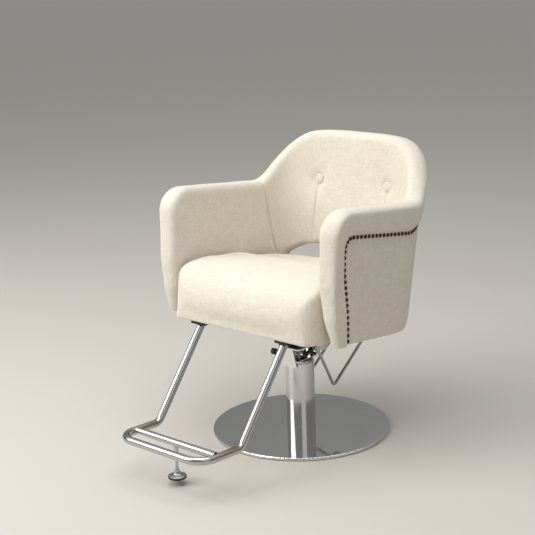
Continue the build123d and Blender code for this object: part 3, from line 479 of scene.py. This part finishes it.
def nailed_recess(s, n, height, panel, panel_v, run):
    """The outer side is let in behind the nailed edge, and the roll closes down to it."""
    to_front = s - table(TRIM_FRONT, height)
    steep = np.interp(panel_v, V_LINE, trim_slope) * run
    to_top = (np.interp(panel_v, V_LINE, trim_line) - height) / np.sqrt(1 + steep ** 2)
    edge = TRIM_R - np.hypot(np.maximum(TRIM_R - to_front, 0), np.maximum(TRIM_R - to_top, 0))
    recess = n - (panel - SINK)
    lip = np.hypot(np.maximum(edge + CURL_R, 0), np.maximum(recess, 0)) - CURL_R
    return np.minimum(lip, recess)


def tub_field(step):
    """The padded tub as a field on a grid: wall, nailed recess, dimples, slot and the rail below it."""
    x, v, w = tub_grid(step)
    gx, gv = np.meshgrid(x, v, indexing="ij")
    s, n = along(np.stack([np.abs(gx).ravel(), gv.ravel()], 1))

    def at_station(line):
        return np.interp(s, S_LINE, line).reshape(gx.shape)[:, :, None]

    height = w[None, None, :]
    shares = [np.interp(height, [row[0] for row in PANEL], unit) for unit in np.eye(len(PANEL))]
    panel = sum(at_station(line) * share for (line, _), share in zip(panel_lines, shares))
    panel_v = sum(at_station(line) * share for (_, line), share in zip(panel_lines, shares))
    inner, outer = at_station(inner_n), at_station(outer_n)
    crest, slope = at_station(crest_line), at_station(crest_slope)
    run = at_station(np.gradient(panel_lines[-1][1]))
    half, deep = np.abs(gx)[:, :, None], gv[:, :, None]
    s, n = (values.reshape(gx.shape)[:, :, None] for values in (s, n))
    field = rolled_wall(s, n, height, inner, outer, crest, slope)
    field = soft_max(field, nailed_recess(s, n, height, panel, panel_v, run), 3.0)
    # buttons pull the back's front face in
    r = np.hypot(half - BUTTON[0], height - BUTTON[1])
    pull = sum(depth * np.exp(-(r / width) ** 2) for depth, width in DIMPLE)
    field = field + pull * np.clip(-n / 20, 0, 1)
    # the gap above the seat, and the foot of the wall
    above_arch = (table(SLOT_ARCH, half) - height) * 0.95
    field = soft_max(field, np.where(deep > SLOT_V, above_arch, -CLEAR), 16.0)
    field = soft_max(field, -height, 10.0)
    # covered rail that closes the tub behind the seat
    band = np.abs(n - (panel - SINK - RAIL_T / 2)) - RAIL_T / 2
    band = soft_max(band, height - SLOT_LOW - 2, 8.0)
    band = soft_max(band, np.maximum(8 - height, CURVE_V + 60 - s), 6.0)
    return np.minimum(field, band), (x[0], v[0], w[0])


def press(obj, depth, width, gap):
    """Moves vertices in along their normals by a groove's profile, gap being their distance from its line."""
    co = co_of(obj)
    fall = depth * np.exp(-(gap / width) ** 2)
    set_co(obj, co - normals_of(obj) * fall[:, None] / 1000)


def uneven(obj, size):
    """Foam under cloth is never quite even: adds low waves of the given size in metres."""
    co = co_of(obj)
    x, y, z = co.T
    wave = np.sin(x * 31 + 1.3) * np.sin(z * 27) + np.sin(y * 36 + 0.6) * np.sin(z * 41 + 2)
    set_co(obj, co + normals_of(obj) * wave[:, None] * size)


def padded_tub():
    """The padded wall's mesh with its pleats and seams pressed in."""
    field, origin = tub_field(VOXEL)
    verts, quads = surface_net(field, origin, VOXEL)
    obj = add_mesh("padded_tub", to_world(verts), quads, fabric)
    relax = obj.modifiers.new("relax", "SMOOTH")
    relax.factor, relax.iterations = 0.5, 2
    obj.modifiers.new("finer", "SUBSURF").levels = 1
    apply_modifiers(obj)
    deck = to_deck(co_of(obj))
    s, n = along(np.stack([np.abs(deck[:, 0]), deck[:, 1]], 1))
    inner_side = np.clip(-n / 8, 0, 1)
    press(obj, 4.0 * inner_side, 4.5, line_distance(np.stack([np.abs(deck[:, 0]), deck[:, 2]], 1), PLEAT))
    press(obj, 6.0 * inner_side, 4.0, line_distance(np.stack([s, deck[:, 2]], 1), SEAM))
    uneven(obj, 0.0006)
    return obj


tub = padded_tub()
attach(tub, "seat")
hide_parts("left_arm_pad", "right_arm_pad", "back_pad")


# ---------------------------------------------------------------- nailed outer cover
def cover_point(part, w):
    """Points of the cover's left half at heights w. Part is -1 in front, 0 at the curve and 1 at mid back."""
    half, rear = table(PANEL, w, 1), table(PANEL, w, 2)
    if part <= 0:
        up = np.clip(w - (TRIM_TOP - TRIM_R), 0, TRIM_R)
        edge = table(TRIM_FRONT, w) + TRIM_R - np.sqrt(TRIM_R ** 2 - up ** 2)
        return np.stack([half, CURVE_V + part * (CURVE_V - edge), w], 1)
    b0, b1, b2 = (1 - part) ** 3, 3 * part * (1 - part) ** 2, 3 * part ** 2 * (1 - part)
    x = half * (b0 + b1 + b2 * SQUARE)
    v = CURVE_V * (b0 + b1) + b1 * SQUARE * (rear - CURVE_V) + rear * (b2 + part ** 3)
    return np.stack([x, v, w], 1)


def cover_columns(rows, lower):
    """Half of the cover below or above the slot's foot, in columns from the front edge to mid back."""
    columns = []
    for part in [*np.linspace(-1, 0, 26), *np.linspace(0, 1, 90)[1:]]:
        low, high = np.array([PANEL[0][0]]), np.array([SLOT_LOW])
        if not lower:
            low, high = high, np.array([TRIM_TOP])
            for _ in range(12):
                high = np.interp(cover_point(part, high)[:, 1], V_LINE, trim_line)
            if part > 0:
                low = np.maximum(table(SLOT_ARCH, cover_point(part, low + 50)[:, 0]), SLOT_LOW)
        columns.append(cover_point(part, low + (high - low) * rows))
    return np.array(columns)


def cover_sheet():
    """Both halves of the outer cover as one welded sheet: points, faces and which points lie on its rim."""
    lower = cover_columns(np.linspace(0, 1, 26) ** 1.5, True)
    upper = cover_columns(1 - np.linspace(1, 0, 34) ** 1.35, False)
    bm = bmesh.new()
    for block in (lower, upper):
        for sign in (1, -1):
            grid = [[bm.verts.new(p * (sign, 1, 1)) for p in column] for column in block]
            for a, b in zip(grid, grid[1:]):
                for j in range(len(a) - 1):
                    loop = (a[j], b[j], b[j + 1], a[j + 1])
                    bm.faces.new(loop if sign > 0 else loop[::-1])
    bmesh.ops.remove_doubles(bm, verts=bm.verts, dist=0.05)
    bmesh.ops.dissolve_degenerate(bm, dist=0.01, edges=bm.edges)
    bmesh.ops.recalc_face_normals(bm, faces=bm.faces)
    bm.verts.index_update()
    points = np.array([v.co[:] for v in bm.verts])
    faces = [[v.index for v in f.verts] for f in bm.faces]
    rim = np.array([v.is_boundary for v in bm.verts])
    bm.free()
    return points, faces, rim


def outer_cover():
    """The cover as a thin closed shell, slightly crowned away from its nailed edge."""
    points, faces, rim = cover_sheet()
    obj = add_mesh("outer_cover", to_world(points), faces, fabric)
    if (normals_of(obj)[:, 0] * points[:, 0]).sum() < 0:
        obj.data.flip_normals()
    reach = np.array([np.min(np.linalg.norm(points[rim] - p, axis=1)) for p in points])
    crown = 2.2 * (1 - np.exp(-reach / 22)) - 1.0
    set_co(obj, co_of(obj) + normals_of(obj) * crown[:, None] / 1000)
    shell = obj.modifiers.new("turned_edge", "SOLIDIFY")
    shell.thickness, shell.offset = 0.006, -1
    obj.modifiers.new("finer", "SUBSURF").levels = 1
    apply_modifiers(obj)
    return obj


cover = outer_cover()
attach(cover, "seat")
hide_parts("left_side_panel", "right_side_panel", "rear_panel")


# ---------------------------------------------------------------- covered buttons
def covered_button(label, x, rings=9, around=36):
    """A domed button with a flat, narrower back."""
    circles = []
    for i in range(rings + 1):
        a = i / rings * pi / 2
        circles.append((BUTTON_R * sin(a) ** 0.8, BUTTON_BACK - 1.0 - BUTTON_RISE * cos(a)))
    circles.append((BUTTON_R - 2.5, BUTTON_BACK + 3.5))
    pts, faces = [], []
    for radius, v in circles:
        for j in range(around):
            b = 2 * pi * j / around
            pts.append((x + radius * cos(b), v, BUTTON[1] + radius * sin(b)))
    for i in range(rings + 1):
        for j in range(around):
            k = (j + 1) % around
            faces.append((i * around + j, i * around + k, (i + 1) * around + k, (i + 1) * around + j))
    faces.append(tuple(range((rings + 1) * around, (rings + 2) * around)))
    obj = add_mesh(label, to_world(pts), faces, fabric)
    bm = bmesh.new()
    bm.from_mesh(obj.data)
    bmesh.ops.remove_doubles(bm, verts=bm.verts, dist=1e-5)
    bmesh.ops.recalc_face_normals(bm, faces=bm.faces)
    bm.to_mesh(obj.data)
    bm.free()
    return obj


for label, sign in (("left_button", 1), ("right_button", -1)):
    button = covered_button(label, sign * BUTTON[0])
    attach(button, "seat")
    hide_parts("back_buttons")

# ---------------------------------------------------------------- seat cushion
# the cushion's cover is held at the board and is free to swell above this height
LOOSE_ABOVE = 30.0


def inflate(obj, pressure, cap, frames=20):
    """Cloth under pressure, each point held to cap metres of travel, and to less near the board."""
    rest = co_of(obj)
    cloth = obj.modifiers.new("inflate", "CLOTH")
    cloth.settings.use_pressure = True
    cloth.settings.uniform_pressure_force = pressure
    cloth.settings.effector_weights.gravity = 0
    cloth.settings.quality = 5
    cloth.point_cache.frame_start, cloth.point_cache.frame_end = 1, frames
    for f in range(1, frames + 1):
        scene.frame_set(f)
    apply_modifiers(obj)
    scene.frame_set(1)
    move = (co_of(obj) - rest) * np.clip(to_deck(rest)[:, 2:] / LOOSE_ABOVE, 0, 1)
    size = np.linalg.norm(move, axis=1, keepdims=True)
    set_co(obj, rest + move * np.minimum(1, cap / np.maximum(size, 1e-9)))


def relax(obj, iterations):
    """Smooths the cushion by its group, which leaves the edge at the board crisp."""
    smooth = obj.modifiers.new("relax", "SMOOTH")
    smooth.factor, smooth.iterations, smooth.vertex_group = 0.5, iterations, "soft"


def seat_pad():
    """The seat cushion, rounded over and swollen by a cloth simulation."""
    shape = nodes["seat_cushion"].data
    obj = add_mesh("seat_pad", [v.co for v in shape.vertices], [p.vertices for p in shape.polygons], fabric)
    remesh = obj.modifiers.new("even", "REMESH")
    remesh.mode, remesh.voxel_size = "VOXEL", 0.006
    apply_modifiers(obj)
    soft = obj.vertex_groups.new(name="soft")
    for index, height in enumerate(to_deck(co_of(obj))[:, 2]):
        soft.add([index], float(np.clip((height - 12) / 45, 0.06, 1)), "REPLACE")
    relax(obj, 14)
    apply_modifiers(obj)
    inflate(obj, 4.0, 0.007)
    relax(obj, 10)
    obj.modifiers.new("finer", "SUBSURF").levels = 1
    apply_modifiers(obj)
    obj.data.polygons.foreach_set("use_smooth", [True] * len(obj.data.polygons))
    if not obj.data.materials:
        obj.data.materials.append(fabric)
    return obj


seat = seat_pad()
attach(seat, "seat")
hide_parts("seat_cushion")


# ---------------------------------------------------------------- footrest tube
def rounded_path(points, radii, steps=16):
    """A polyline with its inner corners rounded to the given radii."""
    pts = [Vector(p) for p in points]
    path = [pts[0]]
    for a, b, c, r in zip(pts, pts[1:], pts[2:], radii):
        u, v = (a - b).normalized(), (c - b).normalized()
        half = u.angle(v) / 2
        centre = b + (u + v).normalized() * (r / sin(half))
        first, last = (b + e * (r / tan(half)) - centre for e in (u, v))
        turn = pi - 2 * half
        for k in range(steps + 1):
            f = k / steps
            path.append(centre + (first * sin((1 - f) * turn) + last * sin(f * turn)) / sin(turn))
    return path + [pts[-1]]


def round_bar(path, radius, sides=48):
    """Points and faces of a closed round bar along a path."""
    pts, faces = [], []
    across = Vector((0, 0, 1))
    for i, p in enumerate(path):
        run = (path[min(i + 1, len(path) - 1)] - path[max(i - 1, 0)]).normalized()
        across = (across - run * across.dot(run)).normalized()
        other = run.cross(across)
        for j in range(sides):
            a = 2 * pi * j / sides
            pts.append(p + (across * cos(a) + other * sin(a)) * radius)
    for i in range(len(path) - 1):
        for j in range(sides):
            k = (j + 1) % sides
            faces.append((i * sides + j, i * sides + k, (i + 1) * sides + k, (i + 1) * sides + j))
    faces.append(tuple(range(sides))[::-1])
    faces.append(tuple(range((len(path) - 1) * sides, len(path) * sides)))
    return pts, faces


def footrest_frame():
    """The bent tube as one smooth bar, its two ends cut off at the flanges' underside."""
    leg = (LEG_TOP, LEG_BEND, FRONT_BAR)
    corners = [(RAIL_X, *p) for p in leg] + [(-RAIL_X, *p) for p in leg[::-1]]
    pts, faces = round_bar(rounded_path(corners, BEND_R), TUBE_R)
    obj = add_mesh("footrest_frame", [p / 1000 for p in pts], faces, tube_look)
    bm = bmesh.new()
    bm.from_mesh(obj.data)
    bmesh.ops.bisect_plane(
        bm, geom=[*bm.verts, *bm.edges, *bm.faces], plane_co=to_world((0, 0, -FLANGE_T))[0],
        plane_no=(0, sin(TILT), cos(TILT)), clear_outer=True,
    )
    bmesh.ops.holes_fill(bm, edges=[e for e in bm.edges if e.is_boundary])
    bmesh.ops.recalc_face_normals(bm, faces=bm.faces)
    bm.to_mesh(obj.data)
    bm.free()
    obj.data.set_sharp_from_angle(angle=radians(40))
    return obj


tube = footrest_frame()
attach(tube, "seat")
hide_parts("footrest_tube")

# ---------------------------------------------------------------- stage, light and camera
FLOOR_HALF = 30
floor_corners = [(sx * FLOOR_HALF, sy * FLOOR_HALF, 0) for sx, sy in ((-1, -1), (1, -1), (1, 1), (-1, 1))]
floor = add_mesh("studio_floor", floor_corners, [(0, 1, 2, 3)])
floor.data.materials.append(principled("pale_floor", (0.60, 0.57, 0.52), 0.55)[0])


def studio_world():
    """Soft studio surroundings, darker low down so that the chrome has contrast."""
    world = bpy.data.worlds.new("studio")
    scene.world = world
    world.use_nodes = True
    tree = world.node_tree
    look = node(tree, "ShaderNodeTexCoord").outputs["Generated"]
    up = node(tree, "ShaderNodeSeparateXYZ", {0: look}).outputs[2]
    sky = ramp(tree, up, (
        (0.0, (0.22, 0.22, 0.22)), (0.15, (0.27, 0.27, 0.275)), (0.32, (0.42, 0.425, 0.43)),
        (0.7, (0.95, 0.95, 0.96)),
    ))
    background = tree.nodes["Background"]
    tree.links.new(sky, background.inputs["Color"])
    background.inputs["Strength"].default_value = 0.55


def area_light(name, place, target, size, power, color=(1, 1, 1)):
    """A round lamp that looks at a point."""
    data = bpy.data.lights.new(name, "AREA")
    data.shape, data.size, data.energy, data.color = "DISK", size, power, color
    obj = bpy.data.objects.new(name, data)
    scene.collection.objects.link(obj)
    obj.location = place
    obj.rotation_mode = "QUATERNION"
    obj.rotation_quaternion = (Vector(target) - Vector(place)).to_track_quat("-Z", "Y")


studio_world()
area_light("key", (-1.9, -2.6, 2.6), (0, 0, 0.5), 3.2, 122, (1, 0.985, 0.965))
area_light("top", (0.3, -0.6, 3.6), (0, 0, 0.4), 3.4, 62)
area_light("fill", (3.0, -1.6, 1.6), (0, 0, 0.5), 2.2, 6, (0.96, 0.98, 1))

camera_data = bpy.data.cameras.new("camera")
camera_data.lens, camera_data.sensor_width = 86.82, 36.0
camera = bpy.data.objects.new("camera", camera_data)
scene.collection.objects.link(camera)
turn = (Matrix.Rotation(radians(42.07), 3, "Z") @ Matrix.Rotation(radians(75.533), 3, "X")
        @ Matrix.Rotation(radians(-1.979), 3, "Z"))
camera.matrix_world = Matrix.Translation((2.3294, -2.7066, 1.4095)) @ turn.to_4x4()
scene.camera = camera
scene.view_settings.view_transform = "Standard"
